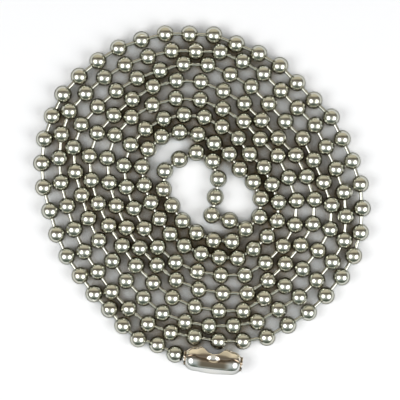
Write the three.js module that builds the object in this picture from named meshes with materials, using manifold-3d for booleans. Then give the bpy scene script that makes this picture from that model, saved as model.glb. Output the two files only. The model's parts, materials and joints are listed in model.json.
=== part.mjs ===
// Roller blind chain: nickel-plated steel balls on short links, lying in a flat coil. The outer end
// is held in a folded sleeve connector and the inner end is free, after an S through the coil's eye.
// Millimetres, +Z up. The balls rest on z = 0 and the origin is under the middle of the coil.
import * as THREE from 'three';
import { mergeVertices } from 'three/addons/utils/BufferGeometryUtils.js';
import Module from 'manifold-3d';

// Balls and the links between them
const BALL_DIAMETER = 4.5;
const BALL_COUNT = 218; // the last one is inside the connector
const BALL_WALL = 0.4; // strip that a ball is rolled from
const BALL_SEAM = 0.12; // open line from hole to hole where the rolled strip meets itself
const LINK_DIAMETER = 0.95;
const LINK_PLAY = 0.3; // clearance all round a link in the hole of a ball
const LINK_HEAD_DIAMETER = 2.1; // upset end that holds a link inside a hollow ball
const HEAD_CHAMFER = 0.4; // of the upset end, towards its shank
const HEAD_BACK_DIAMETER = 1.3; // flat on the back of the upset end
const LINK_SHOWN_TAUT = 1.67; // bare link between two balls that are pulled apart
const LINK_SHOWN_SLACK = 0.2; // bare link between two balls that are pushed together
const SOCKET_DEPTH = 1.0; // how deep a link reaches into the first ball of a strand
const STRAND_COUNT = 54; // fused runs that the chain between its two end balls is built as

// How the chain lies
const BALL_GAP = 0.05; // least space between a ball and the turn inside it
const LEAD_GAP = 1; // the same for the last ball before the connector, which leads out to it
const LEAD_LIFT = 0.25; // how far the connector's link lifts that ball
const SLACK_BALLS = 34; // balls pushed together at the inner end
const EASING_BALLS = 26; // balls over which the chain goes from slack to taut
const SLEEVE_EASING_BALLS = 8; // balls over which it goes slack again before the connector
const EASED_SHARE = 0.2; // share of the taut link that shows next to the connector
const TURN_STEP_SHARE = 0.87; // step from turn to turn over the ball size, under 1 as turns nest
const EYE_SHARE = 2.8; // mean radius of the coil's eye, where the turns begin, over the ball size
const OVAL_SHARE = 0.294; // how far the turns bulge along their long axis, over the eye's radius
const OVAL_ANGLE = THREE.MathUtils.degToRad(-40);
const LOBE_SHARE = 0.0175; // three shallow lobes on top of the oval, over the eye's radius
const LOBE_ANGLE = THREE.MathUtils.degToRad(64);
const TURNS_START = THREE.MathUtils.degToRad(-14);
const TURNS_LIMIT = 9; // turns that the guide line is drawn for, more than the chain fills

// Free end: points of its route through the coil's eye, from the last ball to the first turn, in
// shares of the eye's radius
const FREE_END_ROUTE = [
  [0.524, -1.032], [0.302, -1.063], [-0.341, -0.754], [-0.794, -0.119],
  [-0.865, 0.349], [-0.286, 0.746], [0.071, 0.659], [0.254, 0.262],
  [0.119, -0.476], [0.222, -0.476], [0.960, -0.849], [1.063, -0.603],
];

// Connector: a folded sleeve with a ball seat at each end and a mouth between them
const SLEEVE_WALL = 0.35;
const SEAT_CLEARANCE = 0.2; // round a ball in its seat
const SEAT_SPACING = 9.3; // from ball seat to ball seat
const COLLAR_LENGTH = 0.5; // neck past each seat
const COLLAR_RADIUS = 1.4; // outer radius of the neck that keeps the ball in
const COLLAR_FLARE = 0.2; // curl of the rim
const EDGE_REACH = 1.15; // how far the folded edges stand out past the round sleeve at the mouth
const EDGE_END_REACH = 0.45; // the same at the rims
const EDGE_LEVEL_LENGTH = 7; // middle length over which the folded edges run level
const SEAM_GAP = 0.35; // between the two folded edges
const SEAM_TILT = THREE.MathUtils.degToRad(26); // how far the seam is turned up from level
const MOUTH_RADIUS = 3.0; // round notch where a ball goes in
const MOUTH_UPPER_LEVEL = 2.6; // bottom of the notch in the upper side, out from the sleeve's axis
const MOUTH_LOWER_LEVEL = 0.4; // the same in the lower side, deeper so that a ball passes
const DIMPLE_RADIUS = 1.45; // pressed ring under the mouth
const DIMPLE_FLOOR = 0.3; // share of that radius that is pressed to the full depth
const DIMPLE_DEPTH = 0.35;
const DIMPLE_LEVEL = 1.55; // its place on the upper side, out from the sleeve's axis
const SLEEVE_GAP = 0.3; // least space between the sleeve and the turn inside it
const RIM_GAP = 0.1; // between the sleeve's rim and the last ball outside it
const LINK_SWING = THREE.MathUtils.degToRad(10); // between the last link and the sleeve's axis

// Fineness of the round forms
const EQUATOR_SIDES = 8;
const SHOULDER_SIDES = 5;
const LINK_SIDES = 4;
const HOLLOW_BALL_STEPS = [14, 6]; // round the ball, and from hole to hole
const BARREL_STEPS = 7; // from the sleeve's middle to a seat
const DOME_STEPS = 4; // from a seat to its neck
const FLAT_STEPS = 3; // down a flat of the sleeve's section
const ROUND_STEPS = 12; // round the sleeve's section
const MOUTH_SIDES = 32;
const GUIDE_STEP = 0.1; // between points of the guide line
const SWING_STEP = THREE.MathUtils.degToRad(0.5);
const BLEND_TURNS = [0, 0.35, 0.7]; // angles into the first turn where the free end's curve joins it

const ballRadius = BALL_DIAMETER / 2;
const linkRadius = LINK_DIAMETER / 2;
const holeRadius = linkRadius + LINK_PLAY;
const eyeRadius = EYE_SHARE * BALL_DIAMETER;
const headRadius = LINK_HEAD_DIAMETER / 2;
const sleeveInner = ballRadius + SEAT_CLEARANCE;
const sleeveRadius = sleeveInner + SLEEVE_WALL;
const seatOffset = SEAT_SPACING / 2;
const domeLength = Math.sqrt(sleeveRadius ** 2 - COLLAR_RADIUS ** 2);
const rimReach = domeLength + COLLAR_LENGTH; // from a seat to its rim
const UP = new THREE.Vector3(0, 0, 1);

const nickel = () => new THREE.MeshStandardMaterial({
  color: 0xb9b5a8, roughness: 0.2, metalness: 1,
});
const polishedNickel = () => new THREE.MeshStandardMaterial({
  color: 0xc4bcae, roughness: 0.14, metalness: 1,
});

const wasm = await Module();
wasm.setup();

// Closed geometry as a solid that can be cut.
function solidOf(geometry) {
  const bare = geometry.clone();
  bare.deleteAttribute('normal');
  bare.deleteAttribute('uv');
  const merged = mergeVertices(bare);
  return new wasm.Manifold(new wasm.Mesh({
    numProp: 3,
    vertProperties: merged.getAttribute('position').array,
    triVerts: new Uint32Array(merged.index.array),
  }));
}

// Solid back as a geometry.
function geometryOf(solid) {
  const mesh = solid.getMesh();
  const geometry = new THREE.BufferGeometry();
  geometry.setAttribute('position', new THREE.BufferAttribute(mesh.vertProperties, mesh.numProp));
  geometry.setIndex(new THREE.BufferAttribute(mesh.triVerts, 1));
  geometry.computeVertexNormals();
  return geometry;
}

// Geometry from points and triangles.
function solidGeometry(points, triangles) {
  const geometry = new THREE.BufferGeometry();
  geometry.setAttribute('position', new THREE.Float32BufferAttribute(points.flat(), 3));
  geometry.setIndex(triangles.flat());
  geometry.computeVertexNormals();
  return geometry;
}

// Regular ring of points square to a direction, its first point lowest.
function ring(centre, direction, radius, sides) {
  const down = direction.clone().multiplyScalar(direction.dot(UP)).sub(UP).normalize();
  const side = new THREE.Vector3().crossVectors(direction, down);
  return Array.from({ length: sides }, (_, k) => {
    const angle = (2 * Math.PI * k) / sides;
    return centre.clone()
      .addScaledVector(down, radius * Math.cos(angle))
      .addScaledVector(side, radius * Math.sin(angle));
  });
}

// Closed body through a row of rings, which may have different numbers of points.
function loft(rings) {
  const points = [];
  const triangles = [];
  const starts = rings.map((loop) => {
    points.push(...loop.map((p) => p.toArray()));
    return points.length - loop.length;
  });
  for (let r = 0; r + 1 < rings.length; r += 1) {
    const a = rings[r].length;
    const b = rings[r + 1].length;
    let i = 0;
    let j = 0;
    while (i < a || j < b) {
      const here = starts[r] + (i % a);
      const there = starts[r + 1] + (j % b);
      if (j >= b || (i < a && (i + 1) / a <= (j + 1) / b)) {
        i += 1;
        triangles.push([here, starts[r] + (i % a), there]);
      } else {
        j += 1;
        triangles.push([here, starts[r + 1] + (j % b), there]);
      }
    }
  }
  const last = rings.length - 1;
  for (let k = 1; k + 1 < rings[0].length; k += 1) {
    triangles.push([starts[0], starts[0] + k + 1, starts[0] + k]);
  }
  for (let k = 1; k + 1 < rings[last].length; k += 1) {
    triangles.push([starts[last], starts[last] + k, starts[last] + k + 1]);
  }
  return solidGeometry(points, triangles);
}

// Folded sheet: an outer and an inner grid of points, closed round the edges.
function sheetGeometry(outer, inner) {
  const rows = outer.length;
  const columns = outer[0].length;
  const points = [...outer.flat(), ...inner.flat()];
  const out = (i, j) => i * columns + j;
  const inn = (i, j) => rows * columns + out(i, j);
  const triangles = [];
  const quad = (a, b, c, d) => triangles.push([a, c, b], [a, d, c]);
  for (let i = 0; i + 1 < rows; i += 1) {
    for (let j = 0; j + 1 < columns; j += 1) {
      quad(out(i, j), out(i + 1, j), out(i + 1, j + 1), out(i, j + 1));
      quad(inn(i, j), inn(i, j + 1), inn(i + 1, j + 1), inn(i + 1, j));
    }
    quad(out(i, 0), inn(i, 0), inn(i + 1, 0), out(i + 1, 0));
    quad(out(i, columns - 1), out(i + 1, columns - 1), inn(i + 1, columns - 1), inn(i, columns - 1));
  }
  for (let j = 0; j + 1 < columns; j += 1) {
    quad(out(0, j), out(0, j + 1), inn(0, j + 1), inn(0, j));
    quad(out(rows - 1, j), inn(rows - 1, j), inn(rows - 1, j + 1), out(rows - 1, j + 1));
  }
  return solidGeometry(points, triangles);
}

// Guide line of the coil: the free end's route, then an oval spiral.
function guideLine() {
  const turnStep = BALL_DIAMETER * TURN_STEP_SHARE;
  const shape = (angle) => 1 + OVAL_SHARE * Math.cos(2 * (angle - OVAL_ANGLE))
    + LOBE_SHARE * Math.cos(3 * angle - LOBE_ANGLE);
  const radiusAt = (angle) => eyeRadius * shape(angle) + (turnStep * angle) / (2 * Math.PI);
  const onTurn = (angle) => new THREE.Vector3(
    radiusAt(angle) * Math.cos(angle), radiusAt(angle) * Math.sin(angle), 0,
  );
  const blend = BLEND_TURNS.map((turn) => TURNS_START + turn);
  const route = FREE_END_ROUTE.map(([x, y]) => new THREE.Vector3(x, y, 0).multiplyScalar(eyeRadius));
  const curve = new THREE.CatmullRomCurve3([...route, ...blend.map(onTurn)], false, 'catmullrom');
  const points = curve.getSpacedPoints(Math.ceil(curve.getLength() / GUIDE_STEP));
  let angle = blend[blend.length - 1];
  while (angle < TURNS_LIMIT * 2 * Math.PI) {
    angle += GUIDE_STEP / radiusAt(angle);
    points.push(onTurn(angle));
  }
  return points;
}

// Distance from ball to ball before ball n: slack, then taut, then eased before the connector, whose
// rim keeps the last ball outside it.
function pitchBefore(n) {
  if (n === BALL_COUNT - 1) {
    return rimReach + RIM_GAP + ballRadius;
  }
  const tension = THREE.MathUtils.smoothstep(n, SLACK_BALLS, SLACK_BALLS + EASING_BALLS);
  const toSleeve = THREE.MathUtils.smoothstep(BALL_COUNT - 2 - n, 0, SLEEVE_EASING_BALLS);
  const pull = tension * THREE.MathUtils.lerp(EASED_SHARE, 1, toSleeve);
  return BALL_DIAMETER + THREE.MathUtils.lerp(LINK_SHOWN_SLACK, LINK_SHOWN_TAUT, pull);
}

// Whether a sleeve that starts at a seat and runs along a heading clears the turn inside.
function sleeveIsClear(seat, heading, turnInside) {
  const reach = sleeveRadius + SLEEVE_GAP + ballRadius;
  const along = new THREE.Vector3(Math.cos(heading), Math.sin(heading), 0);
  const axis = new THREE.Line3(seat, seat.clone().addScaledVector(along, SEAT_SPACING));
  const near = new THREE.Vector3();
  return turnInside.every(
    (ball) => axis.closestPointToPoint(ball, true, near).distanceTo(ball) >= reach,
  );
}

// Turns away from the guide line in the order they are tried, from small to large: outwards only on
// the coil's turns, and either way in its eye.
const outwards = Array.from({ length: Math.ceil(Math.PI / SWING_STEP) }, (_, k) => -k * SWING_STEP);
const eitherWay = outwards.flatMap((turn) => [turn, -turn]);

// Ball centres and the sleeve's heading. Each ball is set at its pitch from the last one, towards
// the guide line, and swung aside until it clears the balls already laid, and the last one until
// the sleeve round it clears them too.
function layChain() {
  const guide = guideLine();
  const balls = [guide[0].clone()];
  let ahead = 0;
  let heading;
  for (let n = 1; n < BALL_COUNT; n += 1) {
    const last = balls[n - 1];
    const pitch = pitchBefore(n);
    while (ahead < guide.length - 1 && guide[ahead].distanceTo(last) < pitch) {
      ahead += 1;
    }
    const laid = balls.slice(0, n - 1);
    const aim = guide[ahead].clone().sub(last).setLength(pitch);
    const link = aim.clone();
    const ball = last.clone().add(aim);
    const gap = n === BALL_COUNT - 2 ? LEAD_GAP : BALL_GAP;
    const fits = () => {
      if (n === BALL_COUNT - 1) {
        heading = Math.atan2(link.y, link.x) + LINK_SWING;
        return sleeveIsClear(ball, heading, laid);
      }
      return laid.every((other) => other.distanceTo(ball) >= BALL_DIAMETER + gap);
    };
    (n < SLACK_BALLS ? eitherWay : outwards).find((turn) => {
      link.copy(aim).applyAxisAngle(UP, turn);
      ball.copy(last).add(link);
      return fits();
    });
    balls.push(ball);
  }
  balls.forEach((ball) => { ball.z = ballRadius; });
  balls[BALL_COUNT - 2].z += LEAD_LIFT;
  balls[BALL_COUNT - 1].z = sleeveRadius;
  return { balls, heading };
}

// Ring on a ball's sphere, at an offset from its centre along a direction.
function ballRing(centre, direction, offset, sides) {
  const radius = Math.sqrt(ballRadius ** 2 - offset ** 2);
  return ring(centre.clone().addScaledVector(direction, offset), direction, radius, sides);
}

// Rings of a link along a straight line from a ball's centre, from [distance, radius] pairs.
function linkRings(centre, along, stations) {
  return stations.map(([distance, radius]) => {
    const sides = radius > linkRadius ? EQUATOR_SIDES : LINK_SIDES;
    return ring(centre.clone().addScaledVector(along, distance), along, radius, sides);
  });
}

// Upset head of a link, from its shank side to its rounded back, as [distance, radius] pairs.
const headProfile = [
  [0, headRadius - HEAD_CHAMFER / 2], [HEAD_CHAMFER, headRadius], [headRadius, HEAD_BACK_DIAMETER / 2],
];
const headSeat = ballRadius - BALL_WALL - LINK_PLAY; // shank side of a head, from its ball's centre
const socketReach = SOCKET_DEPTH - LINK_PLAY - ballRadius; // end of a link past the next ball's centre

// A run of balls fused to the links between them. It starts with the hole that takes the link of
// the run before and ends with its own link, reaching into the next ball.
function strandGeometry(balls, first, count) {
  const shoulder = ballRadius * Math.SQRT1_2;
  const neck = Math.sqrt(ballRadius ** 2 - linkRadius ** 2);
  const rim = Math.sqrt(ballRadius ** 2 - holeRadius ** 2);
  const rings = [];
  for (let n = first; n < first + count; n += 1) {
    const centre = balls[n].clone().sub(balls[first]);
    const before = balls[n].clone().sub(balls[n - 1]).normalize();
    const after = balls[n + 1].clone().sub(balls[n]).normalize();
    const middle = before.clone().add(after).normalize();
    if (n === first) {
      const bottom = centre.clone().addScaledVector(before, SOCKET_DEPTH - ballRadius);
      rings.push(ring(bottom, before, holeRadius, LINK_SIDES));
      rings.push(ballRing(centre, before, -rim, LINK_SIDES));
    } else {
      rings.push(ballRing(centre, before, -neck, LINK_SIDES));
    }
    rings.push(ballRing(centre, before, -shoulder, SHOULDER_SIDES));
    rings.push(ballRing(centre, middle, 0, EQUATOR_SIDES));
    rings.push(ballRing(centre, after, shoulder, SHOULDER_SIDES));
    rings.push(ballRing(centre, after, neck, LINK_SIDES));
  }
  const end = balls[first + count - 1];
  const link = balls[first + count].clone().sub(end);
  const tail = end.clone().sub(balls[first]);
  const inSleeve = first + count === BALL_COUNT - 1;
  const shankEnd = link.length() + (inSleeve ? -headSeat : socketReach);
  const head = inSleeve ? headProfile.map(([d, r]) => [shankEnd + d, r]) : [];
  rings.push(...linkRings(tail, link.normalize(), [[shankEnd, linkRadius], ...head]));
  return loft(rings);
}

// Link between the free end's ball and the first strand: a head inside the hollow ball, a plain
// end in the strand's hole.
function freeLinkGeometry(from, to) {
  const link = to.clone().sub(from);
  const shankEnd = link.length() + socketReach;
  const head = headProfile.map(([d, r]) => [headSeat - d, r]).reverse();
  return loft(linkRings(new THREE.Vector3(), link.normalize(),
    [...head, [headSeat, linkRadius], [shankEnd, linkRadius]]));
}

// Hollow ball rolled from strip: open along one meridian, with a hole at each pole. Its poles lie
// on the X axis.
function hollowBallGeometry() {
  const [around, along] = HOLLOW_BALL_STEPS;
  const holeAngle = Math.asin(holeRadius / ballRadius);
  const grid = (radius) => Array.from({ length: around + 1 }, (_, i) => {
    const halfSeam = BALL_SEAM / 2 / ballRadius;
    const turn = THREE.MathUtils.lerp(halfSeam, 2 * Math.PI - halfSeam, i / around);
    return Array.from({ length: along + 1 }, (__, j) => {
      const polar = THREE.MathUtils.lerp(holeAngle, Math.PI - holeAngle, j / along);
      return [
        radius * Math.cos(polar),
        radius * Math.sin(polar) * Math.cos(turn),
        radius * Math.sin(polar) * Math.sin(turn),
      ];
    });
  });
  return sheetGeometry(grid(ballRadius), grid(ballRadius - BALL_WALL));
}

// Stations along half of the sleeve, from its middle to a rim: distance, outer radius of its round
// part, and how far out the folded edges stand from its axis.
function sleeveStations() {
  const collar = seatOffset + domeLength;
  const rim = seatOffset + rimReach;
  const edgeAt = (x) => THREE.MathUtils.mapLinear(
    Math.max(x, EDGE_LEVEL_LENGTH / 2), EDGE_LEVEL_LENGTH / 2, rim,
    sleeveRadius + EDGE_REACH, COLLAR_RADIUS + EDGE_END_REACH,
  );
  const half = [];
  for (let k = 0; k < BARREL_STEPS; k += 1) {
    half.push([(seatOffset * k) / BARREL_STEPS, sleeveRadius]);
  }
  for (let k = 0; k < DOME_STEPS; k += 1) {
    const past = domeLength * Math.sin((Math.PI / 2) * (k / DOME_STEPS));
    half.push([seatOffset + past, Math.sqrt(sleeveRadius ** 2 - past ** 2)]);
  }
  half.push([collar, COLLAR_RADIUS], [rim, COLLAR_RADIUS + COLLAR_FLARE]);
  return half.map(([x, radius]) => [x, radius, Math.max(edgeAt(x), radius + EDGE_END_REACH)]);
}

// Section of the sleeve's sheet: from its upper edge down a flat, round the barrel and up the other
// flat to the lower edge. Each point is [out, up, normal out, normal up], out towards the seam.
function sleeveSection(radius, edge) {
  const half = SEAM_GAP / 2 + SLEEVE_WALL;
  const touch = Math.atan2(half, edge) + Math.acos(radius / Math.hypot(half, edge));
  const normal = [Math.cos(touch), Math.sin(touch)];
  const flat = Array.from({ length: FLAT_STEPS }, (_, k) => {
    const t = k / FLAT_STEPS;
    const out = THREE.MathUtils.lerp(edge, radius * normal[0], t);
    const up = THREE.MathUtils.lerp(half, radius * normal[1], t);
    return [out, up, ...normal];
  });
  const barrel = Array.from({ length: ROUND_STEPS + 1 }, (_, k) => {
    const angle = THREE.MathUtils.lerp(touch, 2 * Math.PI - touch, k / ROUND_STEPS);
    return [radius * Math.cos(angle), radius * Math.sin(angle), Math.cos(angle), Math.sin(angle)];
  });
  const mirrored = flat.map(([out, up, nOut, nUp]) => [out, -up, nOut, -nUp]).reverse();
  return [...flat, ...barrel, ...mirrored];
}

// How far the sheet is pressed in under the mouth.
function dimpleDepth(x, out, up) {
  if (up < 0) {
    return 0;
  }
  const away = Math.hypot(x, out - DIMPLE_LEVEL) / DIMPLE_RADIUS;
  return DIMPLE_DEPTH * (1 - THREE.MathUtils.smoothstep(away, DIMPLE_FLOOR, 1));
}

// Cutter for the mouth: a round bar across the sleeve, tipped so that it cuts the lower side deeper.
function mouthCutter() {
  const upper = new THREE.Vector3(0, MOUTH_UPPER_LEVEL, sleeveRadius / 2);
  const lower = new THREE.Vector3(0, MOUTH_LOWER_LEVEL, -sleeveRadius);
  const bar = upper.clone().sub(lower).normalize();
  const along = new THREE.Vector3(1, 0, 0);
  const outward = new THREE.Vector3().crossVectors(bar, along).normalize();
  const middle = upper.add(lower).multiplyScalar(0.5).addScaledVector(outward, MOUTH_RADIUS);
  const length = 3 * BALL_DIAMETER;
  const geometry = new THREE.CylinderGeometry(MOUTH_RADIUS, MOUTH_RADIUS, length, MOUTH_SIDES);
  geometry.applyMatrix4(new THREE.Matrix4().makeBasis(along, bar, outward.negate()));
  return geometry.translate(middle.x, middle.y, middle.z);
}

// Sleeve folded from one sheet, its seam along +Y before it is tilted. The X axis runs through the
// middles of both ball seats.
function sleeveGeometry() {
  const half = sleeveStations();
  const mirrored = half.slice(1).reverse().map(([x, radius, edge]) => [-x, radius, edge]);
  const surface = (wall) => [...mirrored, ...half].map(([x, radius, edge]) => (
    sleeveSection(radius, edge).map(([out, up, nOut, nUp]) => {
      const inset = wall + dimpleDepth(x, out, up);
      return [x, out - inset * nOut, up - inset * nUp];
    })
  ));
  const sheet = solidOf(sheetGeometry(surface(0), surface(SLEEVE_WALL)));
  const cut = sheet.subtract(solidOf(mouthCutter()));
  return geometryOf(cut).rotateX(SEAM_TILT);
}

// Chain and connector as one group, its origin under the middle of the coil.
const { balls, heading } = layChain();
const chain = new THREE.Group();
const addPiece = (name, geometry, material, place) => {
  const piece = new THREE.Mesh(geometry, material);
  piece.name = name;
  piece.position.copy(place);
  chain.add(piece);
  return piece;
};

const freeEnd = addPiece('free_end_ball', hollowBallGeometry(), nickel(), balls[0]);
freeEnd.rotation.z = Math.atan2(balls[1].y - balls[0].y, balls[1].x - balls[0].x);
addPiece('free_end_link', freeLinkGeometry(balls[0], balls[1]), nickel(), balls[0]);

const strandBalls = BALL_COUNT - 2; // all but the two hollow end balls
for (let k = 0; k < STRAND_COUNT; k += 1) {
  const first = 1 + Math.round((k * strandBalls) / STRAND_COUNT);
  const next = 1 + Math.round(((k + 1) * strandBalls) / STRAND_COUNT);
  const name = `strand_${String(k + 1).padStart(2, '0')}`;
  addPiece(name, strandGeometry(balls, first, next - first), nickel(), balls[first]);
}

const seat = balls[BALL_COUNT - 1];
const lastLink = seat.clone().sub(balls[BALL_COUNT - 2]).normalize();
const coupled = addPiece('coupled_ball', hollowBallGeometry(), nickel(), seat);
coupled.quaternion.setFromUnitVectors(new THREE.Vector3(1, 0, 0), lastLink);

const sleeveAxis = new THREE.Vector3(Math.cos(heading), Math.sin(heading), 0);
const sleeveMiddle = seat.clone().addScaledVector(sleeveAxis, seatOffset).setZ(sleeveRadius);
const sleeve = addPiece('connector', sleeveGeometry(), polishedNickel(), sleeveMiddle);
sleeve.rotation.z = heading;

const bounds = new THREE.Box3().setFromObject(chain, true);
const middle = bounds.getCenter(new THREE.Vector3());
chain.position.set(-middle.x, -middle.y, 0);
const part = new THREE.Group();
part.name = 'roller_blind_chain';
part.add(chain);

export default part;
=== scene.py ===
"""Dresses a metal roller blind chain: rolled balls on short links, lying in a flat coil, and a
folded sleeve connector on its outer end. Everything is in metres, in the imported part's frame."""

import json
import math

import bpy
import numpy as np
from mathutils import Matrix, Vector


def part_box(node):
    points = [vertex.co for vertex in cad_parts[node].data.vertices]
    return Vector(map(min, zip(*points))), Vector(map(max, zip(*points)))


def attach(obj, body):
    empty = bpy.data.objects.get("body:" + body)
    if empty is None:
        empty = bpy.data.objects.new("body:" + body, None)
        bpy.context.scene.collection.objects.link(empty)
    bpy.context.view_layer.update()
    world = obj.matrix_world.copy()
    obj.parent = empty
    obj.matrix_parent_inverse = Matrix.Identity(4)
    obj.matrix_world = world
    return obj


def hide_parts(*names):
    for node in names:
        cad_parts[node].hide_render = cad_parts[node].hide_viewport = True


bl_info = {
    "name": "Roller blind chain",
    "version": (1, 0, 0),
    "blender": (4, 5, 0),
    "location": "3D View > Sidebar > Blind chain",
    "description": "Balls, links and connector of a coiled roller blind chain, with its stage",
    "category": "Object",
}

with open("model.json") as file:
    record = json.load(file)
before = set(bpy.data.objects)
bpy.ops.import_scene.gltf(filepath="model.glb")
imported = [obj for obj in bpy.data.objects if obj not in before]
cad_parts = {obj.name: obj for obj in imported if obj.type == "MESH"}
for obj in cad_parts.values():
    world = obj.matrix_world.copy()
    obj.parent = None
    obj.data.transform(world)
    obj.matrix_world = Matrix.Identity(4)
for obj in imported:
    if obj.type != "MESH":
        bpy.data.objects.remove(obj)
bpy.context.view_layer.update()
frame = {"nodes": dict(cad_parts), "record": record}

MM = 0.001
BODY = "root"
CHAIN_SLOT = "chain_nickel"
CONNECTOR_SLOT = "connector_nickel"
STRANDS = sorted(name for name in frame["nodes"] if name.startswith("strand_"))
FREE_BALL = "free_end_ball"
FREE_LINK = "free_end_link"
COUPLED_BALL = "coupled_ball"
SLEEVE = "connector"

FRAME_WIDTH = 101.6 * MM  # what the photograph's frame spans at the balls' height
FRAME_CENTRE = (-0.5 * MM, 0.0)
CAMERA_HEIGHT = 0.62
SENSOR = 36.0
FLOOR_REACH = 6.0
FLOOR_LEVEL = -0.03 * MM  # just under the part

BALL_RADIUS = 2.25 * MM
BALL_STEPS = (6, 12)  # bands from hole to hole and columns round a ball of the chain
END_BALL_STEPS = (12, 24)  # and of the balls at its ends
END_BALL_ROLL = math.radians(200)  # turns their seams away from the camera
LOW_LEVEL = 0.4 * MM  # of a strand's vertices only those under its balls' centres lie lower
HOLE_TAPER = 0.86  # floor of a ball's hole over its mouth
LINK_SUNK = 0.6 * MM  # how far a link's ends lie inside the balls
LINK_SIDES = 8
SEED = 7
TINT_SPREAD = 0.45  # how far a ball's own tint may lie to either side

# The connector. Shares are of its section, from the upper folded edge to the lower one.
NECK_BLEND = 0.3 * MM  # softness of the corner between dome and neck
EDGE_BLEND = 0.3 * MM  # and where the folded edges start to fall
MOUTH_STEP = 0.08 * MM
DOME_STEPS = 14
NECK_STEPS = 4
RIM_STEPS = 4
EDGE_STEPS = 4  # round each folded edge, from the outer face to the inner one
SLEEVE_AROUND = 120
END_SAMPLES = 1601  # places tried for where the mouth ends the sheet
RIM_CLOSED = 0.9  # how far the sheet's faces close on each other at a rim
EDGE_ROUND = 0.01  # share that the half-round edge reaches out
FLARE_LENGTH = 0.35 * MM  # of the turned-out rim
DIMPLE_FLOOR = 0.3  # share of the dimple that is its flat floor
BULGE_SCALE = 1.5 * math.sqrt(3)  # brings the greatest value of sqrt(l) (1 - l) to one
# painted shade on the inner face of the folded sheet
INSIDE_PAINTED_SHADE = 0.5
CREASE_WIDTH = 0.022  # of the painted shade line along the shoulder crease
CREASE_PAINTED_SHADE = 0.95
BAND_PAINTED_REFLECTION = 0.8  # darkness of the painted dark reflection on the band between the seats
BAND_START = 0.02  # share past the flat over which the band comes in
BAND_END = (0.27, 0.31)  # shares between which it goes out
BAND_FADE = (2.6 * MM, 4.6 * MM)  # and places along the sleeve
NECK_PAINTED_SHADE = 0.85  # painted shade on the necks behind the rims
NECK_FADE = 0.25 * MM
RIM_BRIGHT = (0.3 * MM, 0.15 * MM)  # from the rim, between which the necks' painted shade fades out, leaving the rim plain
WARM_LIFT = 0.25  # how far up a flat its painted warm reflection comes in fully
# strength of the painted warm reflection; where it is absent the tint leans the other way, to the
# plain plate
PAINTED_REFLECTION_WARMTH = 0.8

# The plate: scale and detail of its two noises, and how much they do.
DRIFT_NOISE = (260.0, 3.0)
FINE_NOISE = (2400.0, 2.0)
FINE_DEPTH = 0.02 * MM
TINT_SHARE = 0.6  # of a piece's tint attribute, on top of the noise: a ball's own tone, and on the connector a painted warm reflection
GLOSS_SPREAD = 0.3  # share by which roughness varies to either side
CHAIN_ROUGHNESS, CHAIN_MARKS = 0.13, 0.25
CONNECTOR_ROUGHNESS, CONNECTOR_MARKS = 0.1, 0.1
GRAZING = (0.04, 0.045, 0.03)  # the plate's tint where it is seen edge-on

FLOOR_ROUGHNESS = 0.9
GAP_REACH = 5.5 * MM  # how far the floor looks for balls that shade it
GAP_OPENNESS = (0.26, 0.38, 0.56)  # open share of its sky at which the floor is painted brown and grey as shade, and plain pale

# The room as the plate reflects it. Places are on a ball seen from above, in ball radii: u to the
# right, v away from the connector's side.
LAMPS = (  # name, place, width and height
    ("softbox_left", (-0.33, -0.1), (0.36, 0.38)),
    ("softbox_right", (0.35, -0.15), (0.38, 0.4)),
)
LAMP_DISTANCE = 0.5
GLOW = 0.74  # of the air and cloth round each lamp
GLOW_WIDTH = 0.25
LEAST_LIFT = 0.001  # keeps the direction straight down off a division by nothing
MATT_LIGHT = (0.97, 0.98, 1.0)
SIDES_SPAN = (0.4, 0.8)  # u, to either side, between which the side walls come in
ROOM_SIDES = (0.2, 0.205, 0.18)
ROOM_BANDS = (
    (-1.0, (0.16, 0.18, 0.15)),
    (-0.7, (0.21, 0.25, 0.2)),
    (-0.56, (0.07, 0.095, 0.07)),
    (-0.45, (0.14, 0.175, 0.15)),
    (-0.32, (0.34, 0.38, 0.38)),
    (0.02, (0.44, 0.44, 0.42)),
    (0.14, (0.22, 0.2, 0.17)),
    (0.22, (0.13, 0.11, 0.085)),
    (0.3, (0.16, 0.135, 0.105)),
    (0.38, (0.56, 0.52, 0.42)),
    (0.55, (0.81, 0.755, 0.61)),
    (0.75, (0.76, 0.72, 0.58)),
    (1.0, (0.35, 0.34, 0.29)),
)


class ChainSizes(bpy.types.PropertyGroup):
    """Sizes of the balls and links."""

    ball_radius: bpy.props.FloatProperty(
        name="Ball radius", description="Outer radius of a ball",
        default=BALL_RADIUS, unit="LENGTH", precision=5)
    hole_radius: bpy.props.FloatProperty(
        name="Hole radius", description="Radius of the hole that a link goes through",
        default=0.8 * MM, unit="LENGTH", precision=5)
    hole_depth: bpy.props.FloatProperty(
        name="Hole depth", description="How deep the hole is seen, from the ball's pole",
        default=0.75 * MM, unit="LENGTH", precision=5)
    link_radius: bpy.props.FloatProperty(
        name="Link radius", description="Radius of a link's rod",
        default=0.475 * MM, unit="LENGTH", precision=5)
    seam_width: bpy.props.FloatProperty(
        name="Seam width", description="Width of the line where a ball's rolled strip meets itself",
        default=0.2 * MM, unit="LENGTH", precision=5)
    seam_depth: bpy.props.FloatProperty(
        name="Seam depth", description="Depth of that line",
        default=0.09 * MM, unit="LENGTH", precision=5)


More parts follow.
